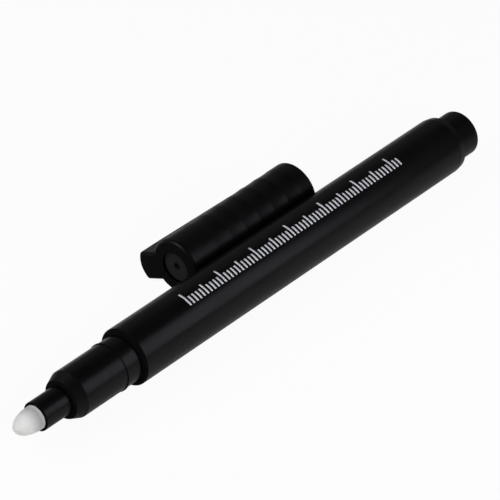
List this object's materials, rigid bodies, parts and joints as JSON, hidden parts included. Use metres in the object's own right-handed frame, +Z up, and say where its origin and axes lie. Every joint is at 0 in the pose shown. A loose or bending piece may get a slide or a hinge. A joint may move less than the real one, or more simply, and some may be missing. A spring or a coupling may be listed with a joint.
{
  "type": "marker pen",
  "caption": "Slim cylindrical marker pen with a bullet nib on a stepped front section, shown uncapped with its fluted, clipped cap lying beside the barrel.",
  "frame": {"origin": "middle of the footprint of the pen and its cap, on the table that they lie on", "axes": "+X along the pen from the nib to the tail, +Y from the pen across to its cap, +Z up"},
  "size_m": [0.1296, 0.0274, 0.012],
  "materials": {
    "barrel_plastic": "black moulded polypropylene, satin gloss",
    "section_plastic": "black moulded polypropylene, satin gloss",
    "tail_plastic": "black moulded polypropylene, satin gloss",
    "cap_plastic": "black moulded polypropylene, satin gloss",
    "seal_plastic": "dark grey moulded polyethylene, satin",
    "nib_fibre": "white pressed polyester fibre, matte",
    "ink_fibre": "white bonded polyester fibre, matte",
    "wrap_film": "clear polypropylene film"
  },
  "bodies": {
    "pen": {"barrel": "barrel_plastic", "nib_holder": "section_plastic", "nib": "nib_fibre", "ink_reservoir": "ink_fibre", "reservoir_wrap": "wrap_film", "tail_plug": "tail_plastic"},
    "cap": {"cap_shell": "cap_plastic", "inner_cap": "seal_plastic"},
    "clip": {"pocket_clip": "cap_plastic"}
  },
  "joints": [
    {"name": "cap_slide", "type": "slide", "parent": "pen", "child": "cap", "axis": [-1, 0, 0], "range_m": [0, 0.096]},
    {"name": "clip_flex", "type": "hinge", "parent": "cap", "child": "clip", "pos_m": [-0.00812, 0.00782, 0.00463], "axis": [0, 0.4051, 0.9143], "range_deg": [0, 4], "stiffness_Nm_per_rad": 0.3}
  ]
}
